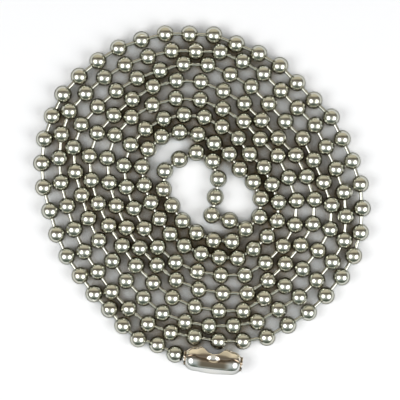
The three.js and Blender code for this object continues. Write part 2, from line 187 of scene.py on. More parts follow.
class SleeveSizes(bpy.types.PropertyGroup):
    """Sizes of the folded connector."""

    radius: bpy.props.FloatProperty(
        name="Barrel radius", description="Outer radius of the round barrel",
        default=2.76 * MM, unit="LENGTH", precision=5)
    wall: bpy.props.FloatProperty(
        name="Sheet thickness", description="Thickness of the folded sheet",
        default=0.35 * MM, unit="LENGTH", precision=5)
    seat_spacing: bpy.props.FloatProperty(
        name="Seat spacing", description="Distance between the two ball seats",
        default=9.3 * MM, unit="LENGTH", precision=5)
    collar_radius: bpy.props.FloatProperty(
        name="Neck radius", description="Outer radius of the neck at each end",
        default=1.4 * MM, unit="LENGTH", precision=5)
    collar_length: bpy.props.FloatProperty(
        name="Neck length", description="Length of the neck past the round end",
        default=0.5 * MM, unit="LENGTH", precision=5)
    rim_flare: bpy.props.FloatProperty(
        name="Rim flare", description="How far the rim turns out",
        default=0.3 * MM, unit="LENGTH", precision=5)
    edge_reach: bpy.props.FloatProperty(
        name="Edge reach", description="How far the folded edges stand past the barrel",
        default=1.0 * MM, unit="LENGTH", precision=5)
    edge_end_reach: bpy.props.FloatProperty(
        name="Edge reach at the rims", description="The same at the sleeve's ends",
        default=0.45 * MM, unit="LENGTH", precision=5)
    edge_level: bpy.props.FloatProperty(
        name="Level edge", description="Middle length over which the folded edges run level",
        default=7.0 * MM, unit="LENGTH", precision=5)
    seam_gap: bpy.props.FloatProperty(
        name="Seam gap", description="Gap between the two folded edges",
        default=0.35 * MM, unit="LENGTH", precision=5)
    seam_tilt: bpy.props.FloatProperty(
        name="Seam tilt", description="How far the seam is turned up from level",
        default=math.radians(20), subtype="ANGLE")
    flat_curl: bpy.props.FloatProperty(
        name="Flat curl", description="How far the folded flats bulge out between edge and barrel",
        default=0.16 * MM, unit="LENGTH", precision=5)
    mouth_radius: bpy.props.FloatProperty(
        name="Mouth radius", description="Radius of the round notch where a ball goes in",
        default=3.0 * MM, unit="LENGTH", precision=5)
    mouth_upper: bpy.props.FloatProperty(
        name="Upper mouth level",
        description="Bottom of the notch in the upper side, from the axis",
        default=2.6 * MM, unit="LENGTH", precision=5)
    mouth_lower: bpy.props.FloatProperty(
        name="Lower mouth level",
        description="Bottom of the notch in the lower side, from the axis",
        default=0.4 * MM, unit="LENGTH", precision=5)
    mouth_corner: bpy.props.FloatProperty(
        name="Mouth corner", description="How softly the notch's corners are rounded",
        default=0.22 * MM, unit="LENGTH", precision=5)
    dimple_width: bpy.props.FloatProperty(
        name="Dimple half width", description="Half width of the dimple across the sleeve",
        default=1.05 * MM, unit="LENGTH", precision=5)
    dimple_length: bpy.props.FloatProperty(
        name="Dimple half length", description="Half length of the dimple along the sleeve",
        default=1.9 * MM, unit="LENGTH", precision=5)
    dimple_level: bpy.props.FloatProperty(
        name="Dimple level", description="Place of the dimple, out from the axis towards the seam",
        default=1.65 * MM, unit="LENGTH", precision=5)
    dimple_depth: bpy.props.FloatProperty(
        name="Dimple depth", description="How deep the sheet is pressed in under the mouth",
        default=0.35 * MM, unit="LENGTH", precision=5)
    facet_share: bpy.props.FloatProperty(
        name="Facet share", description="How far the outer side is flattened, 1 being flat",
        default=0.75, min=0, max=1, subtype="FACTOR")
    side_bow: bpy.props.FloatProperty(
        name="Side bow",
        description="How far the side away from the seam bows out between the seats",
        default=0.28 * MM, unit="LENGTH", precision=5)
    band_share: bpy.props.FloatProperty(
        name="Band share",
        description="How far the top is flattened between the seats, 1 being flat",
        default=0.9, min=0, max=1, subtype="FACTOR")


class ChainFinish(bpy.types.PropertyGroup):
    """Colours of the nickel plate."""

    plate: bpy.props.FloatVectorProperty(
        name="Plate", description="Colour of the balls' nickel plate",
        default=(0.59, 0.605, 0.545), subtype="COLOR", size=3, min=0, max=1)
    plate_warm: bpy.props.FloatVectorProperty(
        name="Warm plate", description="Colour of the warmer patches of the plate",
        default=(0.61, 0.59, 0.505), subtype="COLOR", size=3, min=0, max=1)
    # Painted shade in the balls' holes; their seam lines take this dark colour too.
    recess: bpy.props.FloatVectorProperty(
        name="Recess", description="Colour of holes and seams",
        default=(0.085, 0.07, 0.05), subtype="COLOR", size=3, min=0, max=1)
    connector: bpy.props.FloatVectorProperty(
        name="Connector", description="Colour of the connector's polished plate",
        default=(0.72, 0.725, 0.70), subtype="COLOR", size=3, min=0, max=1)
    # Also the painted warm reflection on the connector's flats and band, besides its warmer
    # patches.
    connector_warm_and_painted_reflection: bpy.props.FloatVectorProperty(
        name="Warm connector", description="Colour of the warmer patches of the connector",
        default=(0.88, 0.80, 0.68), subtype="COLOR", size=3, min=0, max=1)
    # Painted shade: the connector's crease, necks and inner face, and the painted dark reflection
    # on its band, take this colour.
    connector_painted_shade: bpy.props.FloatVectorProperty(
        name="Connector recess", description="Colour of the connector's folds and inside",
        default=(0.15, 0.09, 0.035), subtype="COLOR", size=3, min=0, max=1)


class StageSettings(bpy.types.PropertyGroup):
    """Floor, lamps and surroundings."""

    floor: bpy.props.FloatVectorProperty(
        name="Floor", description="Colour of the floor",
        default=(0.96, 0.965, 0.97), subtype="COLOR", size=3, min=0, max=1)
    # Painted shade on the floor: grey in the gaps between balls and brown where they nearly touch.
    floor_gap_painted_shade: bpy.props.FloatVectorProperty(
        name="Floor in gaps", description="Colour of the floor in gaps between balls",
        default=(0.75, 0.79, 0.81), subtype="COLOR", size=3, min=0, max=1)
    floor_deep_painted_shade: bpy.props.FloatVectorProperty(
        name="Floor deep down", description="Colour of the floor where balls nearly touch",
        default=(0.27, 0.205, 0.115), subtype="COLOR", size=3, min=0, max=1)
    # The floor's own light whitens the open floor; it is left out of the gaps, which deepens their
    # painted shade.
    floor_glow: bpy.props.FloatProperty(
        name="Floor glow", description="Light of the open floor's own, as the camera sees it",
        default=0.2, min=0, max=1, subtype="FACTOR")
    softbox: bpy.props.FloatProperty(
        name="Softbox radiance", description="Brightness of the two softboxes",
        default=3.6, min=0, max=10, subtype="FACTOR")
    ambient: bpy.props.FloatProperty(
        name="Ambient", description="Brightness of the room for matt surfaces",
        default=0.2, min=0, max=1, subtype="FACTOR")


def box_middle(name):
    """Middle of a CAD node's box."""
    low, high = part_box(name)
    return (np.array(low) + np.array(high)) / 2


def ball_centres():
    """Centres of all balls, from the free end to the one inside the connector. Each ball of a
    strand has one vertex under its centre, and no other vertex of the strand lies as low."""
    centres = [box_middle(FREE_BALL)]
    for name in STRANDS:
        points = node_points(name)
        found = [p + (0, 0, BALL_RADIUS) for p in points[points[:, 2] < LOW_LEVEL]]
        while found:
            gaps = [np.linalg.norm(c - centres[-1]) for c in found]
            centres.append(found.pop(int(np.argmin(gaps))))
    centres.append(box_middle(COUPLED_BALL))
    return np.array(centres)


def node_points(name):
    """Distinct vertices of a CAD node."""
    data = frame["nodes"][name].data
    points = np.empty(len(data.vertices) * 3, np.float32)
    data.vertices.foreach_get("co", points)
    return np.unique(points.reshape(-1, 3).round(7), axis=0).astype(float)


def unit(v):
    """Vectors scaled to length one."""
    return v / np.linalg.norm(v, axis=-1, keepdims=True)


def frames_along(axes, roll):
    """Right-handed frames (axis, side, up) as rows, turned about the axis by roll."""
    side = unit(np.cross(np.array([0.0, 0.0, 1.0]), axes))
    up = np.cross(axes, side)
    c, s = np.cos(roll)[:, None], np.sin(roll)[:, None]
    return np.stack([axes, c * side + s * up, c * up - s * side], axis=1)


def join_faces(*groups):
    """Corners of all faces one after another and the number of corners of each, from arrays of
    faces with equal numbers of corners."""
    groups = [np.atleast_2d(group) for group in groups]
    sizes = np.concatenate([np.full(len(group), group.shape[1]) for group in groups])
    return np.concatenate([group.ravel() for group in groups]), sizes


def new_piece(name, vertices, faces, attributes, normals=None, slot=CHAIN_SLOT):
    """Object from arrays of vertices and joined faces, with point attributes, and with loop normals
    if given."""
    corners, sizes = faces
    mesh = bpy.data.meshes.new(name)
    mesh.vertices.add(len(vertices))
    mesh.vertices.foreach_set("co", vertices.astype(np.float32).ravel())
    mesh.loops.add(len(corners))
    mesh.loops.foreach_set("vertex_index", corners.astype(np.int32))
    mesh.polygons.add(len(sizes))
    mesh.polygons.foreach_set("loop_start", (np.cumsum(sizes) - sizes).astype(np.int32))
    mesh.update(calc_edges=True)
    mesh.shade_smooth()
    for key, values in attributes.items():
        attribute = mesh.attributes.new(key, "FLOAT", "POINT")
        attribute.data.foreach_set("value", values.astype(np.float32))
    if normals is not None:
        mesh.normals_split_custom_set(normals.tolist())
    mesh.update()
    piece = bpy.data.objects.new(name, mesh)
    bpy.context.scene.collection.objects.link(piece)
    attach(piece, BODY)
    return piece


def grid_faces(rows, columns):
    """Quads of a rows x columns grid that closes on itself from the last column to the first."""
    i, j = np.meshgrid(np.arange(rows - 1) * columns, np.arange(columns), indexing="ij")
    k = (j + 1) % columns
    return np.stack([i + j, i + k, i + columns + k, i + columns + j], -1).reshape(-1, 4)


def face_normals(corners):
    """Unit normals of quads from their four corners."""
    return unit(np.cross(corners[:, 2] - corners[:, 0], corners[:, 3] - corners[:, 1]))


def turned_out(vertices, wrap, groups):
    """Groups of faces, each face turned round if the quads that wrap the body point inwards, by the
    sign of the volume that they enclose."""
    corners = vertices[wrap] - vertices.mean(0)
    inwards = np.sum(face_normals(corners) * corners.mean(1)) < 0
    return [group[..., ::-1] for group in groups] if inwards else groups


def cap_normals(columns):
    """Loop normals of the two caps of a body along X."""
    return np.repeat([[-1.0, 0.0, 0.0], [1.0, 0.0, 0.0]], columns, axis=0)


def ball_mesh(sizes, bands, around):
    """Closed ball on the X axis with its two holes, as (vertices, joined faces, loop normals, and a
    darkening that paints shade in the holes and darkens the seam). Its profile (along, out) is the
    floor of a hole, the sphere (-r cos a, r sin a) for a from hole to hole, and the other floor.
    Turned about the axis it is (along, out cos t, out sin t), with a shallow V at t = 0 for the
    rolled seam. On the sphere a loop's normal is its own radius."""
    hole = math.asin(sizes.hole_radius / sizes.ball_radius)
    polar = np.linspace(hole, math.pi - hole, bands + 1)
    sphere = sizes.ball_radius * np.column_stack([-np.cos(polar), np.sin(polar)])
    floor = np.array([[sizes.ball_radius - sizes.hole_depth, sizes.hole_radius * HOLE_TAPER]])
    profile = np.vstack([floor * (-1, 1), sphere, floor])
    half_seam = sizes.seam_width / 2 / sizes.ball_radius
    turn = np.concatenate([[0.0], np.linspace(half_seam, 2 * math.pi - half_seam, around + 1)])
    rows, columns = len(profile), len(turn)
    out = np.repeat(profile[:, 1:], columns, axis=1)
    out[1:-1, 0] -= sizes.seam_depth
    along = np.repeat(profile[:, :1], columns, axis=1)
    vertices = np.stack([along, out * np.cos(turn), out * np.sin(turn)], -1).reshape(-1, 3)
    quads = grid_faces(rows, columns)
    first, last = np.arange(columns), np.arange((rows - 1) * columns, rows * columns)
    quads, *caps = turned_out(vertices, quads, [quads, first[::-1], last])
    corners = vertices[quads]
    band, column = np.divmod(np.arange(len(quads)), columns)
    smooth = (band > 0) & (band < rows - 2) & (column > 0) & (column < columns - 1)
    flat = face_normals(corners)[:, None, :]
    normals = np.where(smooth[:, None, None], unit(corners), flat).reshape(-1, 3)
    normals = np.vstack([normals, cap_normals(columns)])
    # Painted shade in the holes: their floors take the dark colour in full, and so does the seam
    # line.
    recess = np.zeros((rows, columns))
    recess[[0, -1], :] = 1.0
    recess[1:-1, 0] = 1.0
    return vertices, join_faces(quads, *caps), normals, recess.ravel()


def repeat_template(template, frames, centres, tints):
    """Copies of a template, one for each frame, centre and tint, as (vertices, joined faces,
    attributes, loop normals)."""
    vertices, (corners, sizes), normals, recess = template
    count = len(vertices)
    copies = np.arange(len(centres))[:, None]
    placed = np.einsum("vi,bij->bvj", vertices, frames) + centres[:, None, :]
    turned = np.einsum("vi,bij->bvj", normals, frames)
    faces = (corners + copies * count).ravel(), np.tile(sizes, len(centres))
    attributes = {"recess": np.tile(recess, len(centres)), "tint": np.repeat(tints, count)}
    return placed.reshape(-1, 3), faces, attributes, turned.reshape(-1, 3)


def fill_inputs(tree, node, inputs):
    """Gives a node's inputs, by name or number, a number, a colour or another node's output."""
    for key, value in inputs.items():
        if isinstance(value, bpy.types.NodeSocket):
            tree.links.new(value, node.inputs[key])
        elif isinstance(value, (int, float)):
            node.inputs[key].default_value = value
        else:
            node.inputs[key].default_value = (*value, 1)


def add_node(tree, kind, inputs=None, **settings):
    """New node with its settings and inputs."""
    node = tree.nodes.new(kind)
    for key, value in settings.items():
        setattr(node, key, value)
    fill_inputs(tree, node, inputs or {})
    return node


def math_node(tree, operation, *values):
    """Output of a maths node."""
    inputs = dict(enumerate(values))
    return add_node(tree, "ShaderNodeMath", inputs, operation=operation).outputs[0]


def noise_node(tree, where, scale, detail):
    """Output of a noise."""
    inputs = {"Vector": where, "Scale": scale, "Detail": detail}
    return add_node(tree, "ShaderNodeTexNoise", inputs).outputs["Fac"]


def attribute_node(tree, name):
    """Output of a mesh's attribute."""
    return add_node(tree, "ShaderNodeAttribute", attribute_name=name).outputs["Fac"]


def mix_colours(tree, share, first, second):
    """Colour between two colours."""
    inputs = {0: share, 6: first, 7: second}
    return add_node(tree, "ShaderNodeMix", inputs, data_type="RGBA").outputs[2]


def mix_shaders(tree, share, first, second):
    """Shader between two shaders."""
    return add_node(tree, "ShaderNodeMixShader", {0: share, 1: first, 2: second}).outputs[0]


def background(tree, colour, strength=1.0):
    """World shader of a colour."""
    inputs = {"Color": colour, "Strength": strength}
    return add_node(tree, "ShaderNodeBackground", inputs).outputs[0]


def colour_ramp(tree, share, stops, interpolation="LINEAR"):
    """Colour off a ramp of stops (place, colour)."""
    node = add_node(tree, "ShaderNodeValToRGB", {0: share})
    node.color_ramp.interpolation = interpolation
    elements = node.color_ramp.elements
    while len(elements) < len(stops):
        elements.new(0.5)
    for element, (place, colour) in zip(elements, stops):
        element.position = place
        element.color = (*colour, 1)
    return node.outputs[0]


def nickel(name, plate, warm, recess, roughness, marks):
    """Nickel plate: a base colour that drifts between two tints, darkened seams and painted shade,
    uneven gloss and fine marks. The tint, which on the connector is a painted warm reflection, and
    the seams and painted shade come from the mesh's attributes."""
    material = bpy.data.materials.new(name)
    material.use_nodes = True
    tree = material.node_tree
    where = add_node(tree, "ShaderNodeTexCoord").outputs["Object"]
    drift = noise_node(tree, where, *DRIFT_NOISE)
    fine = noise_node(tree, where, *FINE_NOISE)
    share = math_node(tree, "MULTIPLY_ADD", attribute_node(tree, "tint"), TINT_SHARE, drift)
    colour = mix_colours(tree, share, plate, warm)
    colour = mix_colours(tree, attribute_node(tree, "recess"), colour, recess)
    gloss = add_node(tree, "ShaderNodeMapRange", {
        "Value": drift,
        "To Min": roughness * (1 - GLOSS_SPREAD),
        "To Max": roughness * (1 + GLOSS_SPREAD)}).outputs["Result"]
    bump = add_node(tree, "ShaderNodeBump", {
        "Strength": marks, "Distance": FINE_DEPTH, "Height": fine}).outputs["Normal"]
    fill_inputs(tree, tree.nodes["Principled BSDF"], {
        "Metallic": 1.0, "Specular Tint": GRAZING, "Base Color": colour, "Roughness": gloss,
        "Normal": bump})
    return material


def chain_plate():
    """The balls' and links' finish, made once."""
    finish = bpy.context.scene.chain_finish
    return bpy.data.materials.get("chain_plate") or nickel(
        "chain_plate", finish.plate, finish.plate_warm, finish.recess,
        CHAIN_ROUGHNESS, CHAIN_MARKS)


class CHAIN_OT_balls(bpy.types.Operator):
    """Makes the rolled balls of the chain"""

    bl_idname = "chain.balls"
    bl_label = "Balls"

    def execute(self, context):
        sizes = context.scene.chain_sizes
        centres = ball_centres()
        links = np.diff(centres, axis=0)
        axes = unit(unit(links[:-1]) + unit(links[1:]))
        rng = np.random.default_rng(SEED)
        frames = frames_along(axes, rng.uniform(0, 2 * math.pi, len(axes)))
        tints = rng.uniform(-TINT_SPREAD, TINT_SPREAD, len(axes))
        template = ball_mesh(sizes, *BALL_STEPS)
        piece = new_piece(
            "chain_balls", *repeat_template(template, frames, centres[1:-1], tints))
        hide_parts(*STRANDS)
        piece.data.materials.append(chain_plate())
        return {"FINISHED"}


def rod_mesh(radius, sides):
    """Closed rod along X from 0 to 1, as (vertices, joined faces, loop normals, and a darkening for
    seams and painted shade that is nil): the ring (x, r cos t, r sin t) at both ends, with radial
    normals round it."""
    turn = np.arange(sides) * 2 * math.pi / sides
    ring = np.stack([np.zeros(sides), np.cos(turn), np.sin(turn)], -1)
    vertices = np.vstack([ring * radius, ring * radius + (1, 0, 0)])
    quads = grid_faces(2, sides)
    caps = np.arange(sides)[::-1], np.arange(sides, 2 * sides)
    quads, *caps = turned_out(vertices, quads, [quads, *caps])
    normals = np.vstack([ring[quads.ravel() % sides], cap_normals(sides)])
    return vertices, join_faces(quads, *caps), normals, np.zeros(2 * sides)


class CHAIN_OT_links(bpy.types.Operator):
    """Makes the links between the balls"""

    bl_idname = "chain.links"
    bl_label = "Links"

    def execute(self, context):
        sizes = context.scene.chain_sizes
        centres = ball_centres()
        steps = np.diff(centres, axis=0)
        lengths = np.linalg.norm(steps, axis=1)
        axes = steps / lengths[:, None]
        frames = frames_along(axes, np.zeros(len(axes)))
        inside = sizes.ball_radius - LINK_SUNK
        template = rod_mesh(sizes.link_radius, LINK_SIDES)
        vertices, *rest = repeat_template(template, frames, centres[:-1], np.zeros(len(axes)))
        count = len(template[0])
        far = np.tile(template[0][:, 0] > 0, len(axes))
        shift = np.where(far, np.repeat(lengths - inside - 1, count), inside)
        vertices = vertices + shift[:, None] * np.repeat(axes, count, axis=0)
        piece = new_piece("chain_links", vertices, *rest)
        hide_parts(FREE_LINK)
        piece.data.materials.append(chain_plate())
        return {"FINISHED"}


class CHAIN_OT_end_balls(bpy.types.Operator):
    """Makes the ball at the free end and the one inside the connector"""

    bl_idname = "chain.end_balls"
    bl_label = "End balls"

    def execute(self, context):
        sizes = context.scene.chain_sizes
        centres = ball_centres()
        template = ball_mesh(sizes, *END_BALL_STEPS)
        ends = (("free_end_shell", FREE_BALL, centres[0], centres[1] - centres[0]),
                ("coupled_shell", COUPLED_BALL, centres[-1], centres[-1] - centres[-2]))
        for name, node, centre, step in ends:
            frames = frames_along(unit(step[None]), np.array([END_BALL_ROLL]))
            piece = new_piece(name, *repeat_template(template, frames, centre[None], np.zeros(1)))
            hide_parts(node)
            piece.data.materials.append(chain_plate())
        return {"FINISHED"}


def soft_max(a, b, width):
    """The larger of two values, with the corner between them rounded over a width."""
    return (a + b + np.sqrt((a - b) ** 2 + width ** 2)) / 2


def soft_min(a, b, width):
    """The smaller of two values, with the corner between them rounded over a width."""
    return -soft_max(-a, -b, width)


def smoothstep(low, high, value):
    """Smooth rise from 0 to 1 between two bounds."""
    t = np.clip((value - low) / (high - low), 0, 1)
    return t * t * (3 - 2 * t)


def flattening(angle, middle, half):
    """Share of a round's radius that is lost where its chord spans an angle of half to each
    side."""
    return 1 - math.cos(half) / np.cos(np.clip(angle - middle, -half, half))


class Sleeve:
    """The folded sheet as a function of two parameters: x along the sleeve's axis, and s round its
    section from the upper edge (0) to the lower edge (1). Out is towards the seam."""

    FLAT = 0.16  # share of s for each flat
    # Middle and half of parts of the section, as angles from the seam.
    FACET = (math.radians(128), math.radians(22))  # flattened side
    BAND = (math.radians(88), math.radians(18))  # flattened top
    BOW = (math.radians(155), math.radians(60))  # side that bows out
    TOP_FADE = (-1.2 * MM, 0.4 * MM)  # places past a seat between which the top turns round again

    def __init__(self, sizes):
        self.sizes = sizes
        self.seat = sizes.seat_spacing / 2
        self.dome = math.sqrt(sizes.radius ** 2 - sizes.collar_radius ** 2)
        self.rim = self.seat + self.dome + sizes.collar_length

    def radius(self, x):
        """Barrel, then a quarter sphere round the seat, then the neck with its flare."""
        sizes = self.sizes
        past = np.clip(np.abs(x) - self.seat, 0, sizes.radius)
        dome = np.sqrt(sizes.radius ** 2 - past ** 2)
        flare = smoothstep(self.rim - FLARE_LENGTH, self.rim, np.abs(x)) * sizes.rim_flare
        return np.minimum(soft_max(dome, sizes.collar_radius + flare, NECK_BLEND), sizes.radius)

    def edge(self, x):
        """How far the folded edges stand out: level in the middle, then falling to the rims."""
        sizes = self.sizes
        level = sizes.radius + sizes.edge_reach
        low = sizes.collar_radius + sizes.edge_end_reach
        share = (np.abs(x) - sizes.edge_level / 2) / (self.rim - sizes.edge_level / 2)
        slope = level + (low - level) * share
        return np.maximum(soft_min(level, slope, EDGE_BLEND), self.radius(x) + sizes.edge_end_reach)

    def lift(self, s):
        """How far along a flat, from the barrel (0) to the folded edge (1)."""
        return np.maximum(1 - s / self.FLAT, 0) + np.maximum(1 - (1 - s) / self.FLAT, 0)

    def section(self, x, s):
        """Point (out, up) and normal: a flat from the edge to where it touches the barrel, bulging
        by c sqrt(l) (1 - l) with its greatest height at a third, the barrel (r cos a, r sin a) with
        a flattened side and top and a side that bows out, and the other flat."""
        sizes = self.sizes
        radius, edge = self.radius(x), self.edge(x)
        half = sizes.seam_gap / 2 + sizes.wall
        touch = np.arctan2(half, edge) + np.arccos(radius / np.hypot(half, edge))
        angle = touch + np.clip((s - self.FLAT) / (1 - 2 * self.FLAT), 0, 1) * 2 * (math.pi - touch)
        fade_from, fade_to = self.seat + self.TOP_FADE[0], self.seat + self.TOP_FADE[1]
        between = 1 - smoothstep(fade_from, fade_to, np.abs(x))
        radius = radius * (1 - flattening(angle, *self.FACET) * sizes.facet_share
                           - flattening(angle, *self.BAND) * sizes.band_share * between)
        away = np.cos(np.clip((angle - self.BOW[0]) / self.BOW[1], -1, 1) * math.pi / 2) ** 2
        radius = radius + sizes.side_bow * away * (1 - smoothstep(0, self.seat, np.abs(x)))
        lift = self.lift(s)
        side = np.where(s < 0.5, half, -half)
        bulge = sizes.flat_curl * BULGE_SCALE * np.sqrt(lift) * (1 - lift)
        normal_out, normal_up = np.cos(angle), np.sin(angle)
        out = radius * normal_out * (1 - lift) + edge * lift + bulge * normal_out
        up = radius * normal_up * (1 - lift) + side * lift + bulge * normal_up
        return out, up, normal_out, normal_up

    def mouth_depth(self, x, out, up):
        """How far a point lies inside the round bar that cuts the mouth. The bar is tipped, so the
        cut is deeper in the lower side."""
        sizes = self.sizes
        top, bottom = sizes.radius / 2, -sizes.radius  # where the mouth has its two levels
        slope = (sizes.mouth_upper - sizes.mouth_lower) / (top - bottom)
        level = sizes.mouth_lower + (up - bottom) * slope
        cosine = 1 / math.hypot(1, slope)
        away = (out - level) * cosine - sizes.mouth_radius
        return sizes.mouth_radius - np.hypot(x, np.minimum(away, 0))

    def ends(self, x):
        """Where the sheet begins and ends in s at each x: at its folded edges, or where the mouth
        is cut."""
        s = np.linspace(0, 1, END_SAMPLES)
        out, up, _, _ = self.section(x[:, None], s[None, :])
        cut = self.mouth_depth(x[:, None], out, up) > 0
        upper = np.where(cut & (s < 0.5), s, 0).max(1)
        lower = np.where(cut & (s >= 0.5), s, 1).min(1)
        spread = np.exp(-0.5 * ((x[:, None] - x[None, :]) / self.sizes.mouth_corner) ** 2)
        spread *= np.gradient(x)[None, :]
        spread /= spread.sum(1, keepdims=True)
        return spread @ upper, spread @ lower

    def dimple(self, x, out, up):
        """How deep the sheet is pressed in under the mouth, as a share."""
        sizes = self.sizes
        away = np.hypot(x / sizes.dimple_length, (out - sizes.dimple_level) / sizes.dimple_width)
        return np.where(up > 0, 1 - smoothstep(DIMPLE_FLOOR, 1, away), 0)

    def painted_shade_and_reflection(self, x, s, dimple):
        """Painted shade and painted reflection on the outer face: painted shade along the upper
        shoulder, a painted dark, warm reflection on the band on top between the seats, painted
        shade on the necks and a painted warm reflection on the flats."""
        # painted shade along the upper shoulder crease
        crease_painted_shade = np.exp(-((s - self.FLAT) / CREASE_WIDTH) ** 2) * CREASE_PAINTED_SHADE
        # painted dark reflection on the band on top between the seats, which is also painted warm
        band = smoothstep(self.FLAT, self.FLAT + BAND_START, s) * (1 - smoothstep(*BAND_END, s))
        band = band * (1 - smoothstep(*BAND_FADE, np.abs(x)))
        dark = np.maximum(crease_painted_shade, band * BAND_PAINTED_REFLECTION) * (1 - dimple)
        # painted shade on the necks, fading out just before each rim
        dome_end = self.seat + self.dome
        neck = smoothstep(dome_end - NECK_FADE, dome_end, np.abs(x))
        rim = smoothstep(self.rim - RIM_BRIGHT[0], self.rim - RIM_BRIGHT[1], np.abs(x))
        dark = np.maximum(dark, NECK_PAINTED_SHADE * neck * (1 - rim))
        # painted warm reflection on the flats, full from a quarter of the way up to the folded
        # edge, and on the band
        warm = np.maximum(smoothstep(0, WARM_LIFT, self.lift(s)), band)
        return dark, PAINTED_REFLECTION_WARMTH * (2 * warm - 1)

    def stations(self):
        """Places along the axis, and how far the sheet's two faces have closed on each other there,
        which rounds the rims."""
        middle = np.arange(0, self.seat, MOUTH_STEP)
        dome = self.seat + self.dome * np.sin(np.linspace(0, math.pi / 2, DOME_STEPS))
        quarter = np.linspace(0, math.pi / 2, RIM_STEPS + 1)[1:]
        round_over = np.sin(quarter) * self.sizes.wall / 2
        neck = np.linspace(dome[-1], self.rim - self.sizes.wall / 2, NECK_STEPS)[1:]
        half = np.concatenate([middle, dome, neck, neck[-1] + round_over])
        closed = np.zeros(len(half))
        closed[-RIM_STEPS:] = 1 - np.cos(quarter)
        closed = np.minimum(closed, RIM_CLOSED)
        return np.concatenate([-half[:0:-1], half]), np.concatenate([closed[:0:-1], closed])

    def mesh(self, around):
        """Closed sheet as (vertices, joined faces, attributes). Each row is a loop round the sheet:
        the outer face, a half-round edge, the inner face and the other edge."""
        wall = self.sizes.wall
        x, closed = self.stations()
        start, end = self.ends(x)
        t = np.linspace(0, 1, around + 1)
        bend = np.arange(1, EDGE_STEPS) / EDGE_STEPS
        round_edge = np.sin(math.pi * bend) * EDGE_ROUND
        depth = (1 - np.cos(math.pi * bend)) / 2
        rows = np.ones((len(x), 1))
        face = start[:, None] + t * (end - start)[:, None]
        s = np.hstack([face, end[:, None] + round_edge, face[:, ::-1], start[:, None] - round_edge])
        through = np.hstack([0 * face, rows * depth, 0 * face + 1, rows * depth[::-1]])
        inset = wall * (through + (0.5 - through) * closed[:, None])
        out, up, normal_out, normal_up = self.section(x[:, None], s)
        dimple = self.dimple(x[:, None], out, up)
        dark, warm = self.painted_shade_and_reflection(x[:, None], s, dimple)
        inset = inset + dimple * self.sizes.dimple_depth
        out, up = out - inset * normal_out, up - inset * normal_up
        grid = np.stack([np.repeat(x[:, None], s.shape[1], axis=1), out, up], -1)
        vertices = grid.reshape(-1, 3)
        columns = s.shape[1]
        quads = grid_faces(len(x), columns)
        inner = 2 * around + EDGE_STEPS  # column of the inner face under the outer face's first
        k = np.arange(around)
        strip = np.stack([k, k + 1, inner - k - 1, inner - k], -1)
        bends = np.array([np.arange(around, around + EDGE_STEPS + 1),
                          [*range(inner, inner + EDGE_STEPS), 0]])
        far = (len(x) - 1) * columns
        groups = [quads, strip[:, ::-1], bends[:, ::-1], strip + far, bends + far]
        groups = turned_out(vertices, quads[quads[:, 0] % columns < around], groups)
        # the darkening: painted shade on the inner face, and on the outer face painted shade and
        # painted dark reflection
        recess = np.maximum(through * INSIDE_PAINTED_SHADE, dark * (1 - through))
        attributes = {"recess": recess.ravel(), "tint": warm.ravel()}
        return vertices, join_faces(*groups), attributes


class CHAIN_OT_connector(bpy.types.Operator):
    """Makes the folded sleeve connector with its mouth, dimple and flared rims"""

    bl_idname = "chain.connector"
    bl_label = "Connector"

    def execute(self, context):
        sizes, finish = context.scene.sleeve_sizes, context.scene.chain_finish
        middle, along = sleeve_place()
        upwards = np.array([0.0, 0.0, 1.0])
        level = np.cross(upwards, along)
        out = math.cos(sizes.seam_tilt) * level + math.sin(sizes.seam_tilt) * upwards
        basis = np.stack([along, out, np.cross(along, out)])
        vertices, *rest = Sleeve(sizes).mesh(SLEEVE_AROUND)
        piece = new_piece(
            "connector_sleeve", vertices @ basis + middle, *rest, slot=CONNECTOR_SLOT)
        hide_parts(SLEEVE)
        piece.data.materials.append(nickel(
            "connector_plate", finish.connector, finish.connector_warm_and_painted_reflection, finish.connector_painted_shade,
            CONNECTOR_ROUGHNESS, CONNECTOR_MARKS))
        return {"FINISHED"}


def sleeve_place():
    """Middle of the sleeve and the direction of its level axis, from the ball it holds to its free
    seat, which is the part's mount."""
    free_seat = np.array(frame["record"]["mounts"][0]["pos_m"])
    seat = np.array([*ball_centres()[-1][:2], free_seat[2]])
    return (seat + free_seat) / 2, unit(free_seat - seat)


def softbox(name, direction, width, height, radiance):
    """Soft round lamp that faces the coil from a direction. A lamp of power P and area A has the
    radiance P / (pi A)."""
    lamp = bpy.data.lights.new(name, "AREA")
    lamp.shape = "ELLIPSE"
    lamp.size = width
    lamp.size_y = height
    lamp.energy = radiance * math.pi * (math.pi / 4 * width * height)
    holder = bpy.data.objects.new(name, lamp)
    bpy.context.scene.collection.objects.link(holder)
    toward = unit(np.array(direction, float))
    side = unit(np.cross([0.0, 1.0, 0.0], toward))
    up = np.cross(toward, side)
    rows = np.eye(4)
    rows[:3] = np.column_stack([side, up, toward, toward * LAMP_DISTANCE])
    holder.matrix_world = Matrix(rows.tolist())


def mirror_direction(u, v):
    """Direction that a ball reflects towards a camera straight above, from the place (u, v) on the
    ball as seen by it, in ball radii."""
    w = math.sqrt(1 - u * u - v * v)
    return (2 * u * w, 2 * v * w, 2 * w * w - 1)


def mirror_place(tree):
    """Place (u, v) on a ball that reflects the direction which is looked up in the world: the
    inverse of mirror_direction, with 2 w = sqrt(2 z + 2)."""
    where = add_node(tree, "ShaderNodeTexCoord").outputs["Generated"]
    x, y, z = add_node(tree, "ShaderNodeSeparateXYZ", {0: where}).outputs
    square = math_node(tree, "MULTIPLY_ADD", z, 2.0, 2.0)
    lift = math_node(tree, "SQRT", math_node(tree, "MAXIMUM", square, LEAST_LIFT))
    return math_node(tree, "DIVIDE", x, lift), math_node(tree, "DIVIDE", y, lift)


